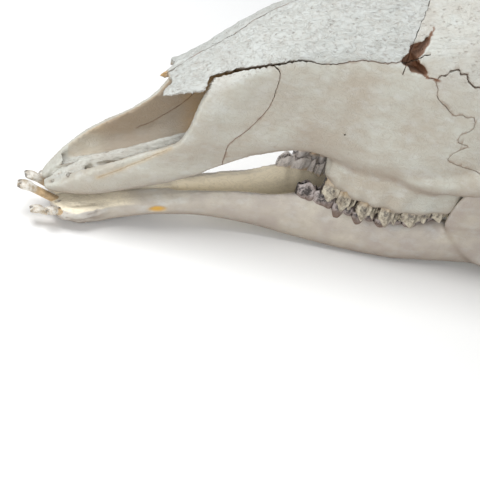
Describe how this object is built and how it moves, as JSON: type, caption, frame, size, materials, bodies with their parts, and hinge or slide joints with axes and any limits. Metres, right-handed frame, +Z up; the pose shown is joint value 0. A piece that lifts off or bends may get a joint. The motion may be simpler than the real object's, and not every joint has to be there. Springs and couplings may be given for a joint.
{
  "type": "giraffe skull",
  "caption": "Life-size skull of a young giraffe with its lower jaw in place, two ossicones and open seams between the bones, resting on its jaw.",
  "frame": {"origin": "centre of the bounding box's underside, on the floor that the lower jaw stands on", "axes": "X runs from the front teeth back to the back of the head, Y runs from the animal's left to its right, Z is up"},
  "size_m": [0.6304, 0.232, 0.3895],
  "materials": {
    "cranium_bone": "matte",
    "mandible_bone": "matte",
    "premaxilla_bone": "matte",
    "nasal_bone": "matte",
    "ossicone_bone": "matte"
  },
  "bodies": {
    "root": {"cranium": "cranium_bone", "mandible_left": "mandible_bone", "mandible_right": "mandible_bone", "premaxilla_left": "premaxilla_bone", "premaxilla_right": "premaxilla_bone", "nasal_left": "nasal_bone", "nasal_right": "nasal_bone", "ossicone_left": "ossicone_bone", "ossicone_right": "ossicone_bone"}
  },
  "joints": []
}
